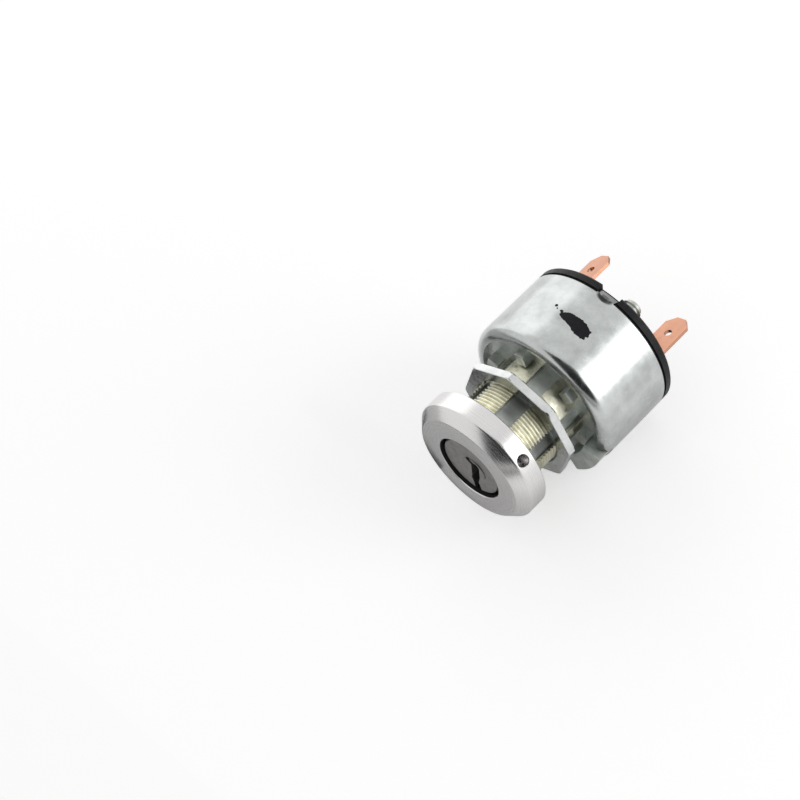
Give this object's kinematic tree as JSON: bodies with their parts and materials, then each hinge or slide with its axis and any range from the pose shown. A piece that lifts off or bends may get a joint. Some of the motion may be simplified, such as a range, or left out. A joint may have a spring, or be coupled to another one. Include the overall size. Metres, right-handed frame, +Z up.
{
  "type": "ignition switch",
  "caption": "Key-operated ignition switch: threaded panel barrel with bezel ring and jam nut, round steel contact can, copper push-on blades and a battery stud.",
  "frame": {"origin": "centre of the bezel ring's back face, where the front of the panel lies", "axes": "+Y along the barrel, from the key face towards the terminals; +Z up, along the upright keyway; +X to the right as seen from the key side"},
  "size_m": [0.038, 0.0553, 0.038],
  "materials": {
    "ring_aluminium": "satin",
    "nut_zinc": "satin",
    "diecast": "satin",
    "can_steel": "satin",
    "black_moulding": "matte",
    "copper": "satin",
    "contact_brass": "satin",
    "stud_steel": "satin",
    "plug_zinc": "satin",
    "spring_steel": "satin",
    "brown_moulding": "matte"
  },
  "bodies": {
    "housing": {"bezel_ring": "ring_aluminium", "jam_nut": "nut_zinc", "lock_barrel": "diecast", "can": "can_steel", "terminal_base": "black_moulding", "ignition_blade": "copper", "start_blade": "copper", "ignition_contact": "contact_brass", "start_contact": "contact_brass", "battery_stud": "stud_steel", "battery_contact": "contact_brass"},
    "key_rotor": {"key_plug": "plug_zinc", "wafer_1": "contact_brass", "wafer_2": "contact_brass", "wafer_3": "contact_brass", "wafer_4": "contact_brass", "wafer_5": "contact_brass", "wafer_6": "contact_brass", "wafer_spring_1": "spring_steel", "wafer_spring_2": "spring_steel", "wafer_spring_3": "spring_steel", "wafer_spring_4": "spring_steel", "wafer_spring_5": "spring_steel", "wafer_spring_6": "spring_steel", "plug_clip": "spring_steel", "rotor": "brown_moulding", "contact_plate": "copper", "contact_spring_1": "spring_steel", "contact_spring_2": "spring_steel", "contact_spring_3": "spring_steel", "return_spring": "spring_steel", "detent_spring": "spring_steel"},
    "detent": {"detent_ball": "spring_steel"}
  },
  "joints": [
    {"name": "key_turn", "type": "hinge", "parent": "housing", "child": "key_rotor", "pos_m": [0, 0, 0], "axis": [0, 1, 0], "range_deg": [0, 90], "deforming": ["return_spring"]},
    {"name": "detent_drop", "type": "slide", "parent": "key_rotor", "child": "detent", "axis": [0, -1, 0], "range_m": [0, 0.00045], "deforming": ["detent_spring"]}
  ]
}
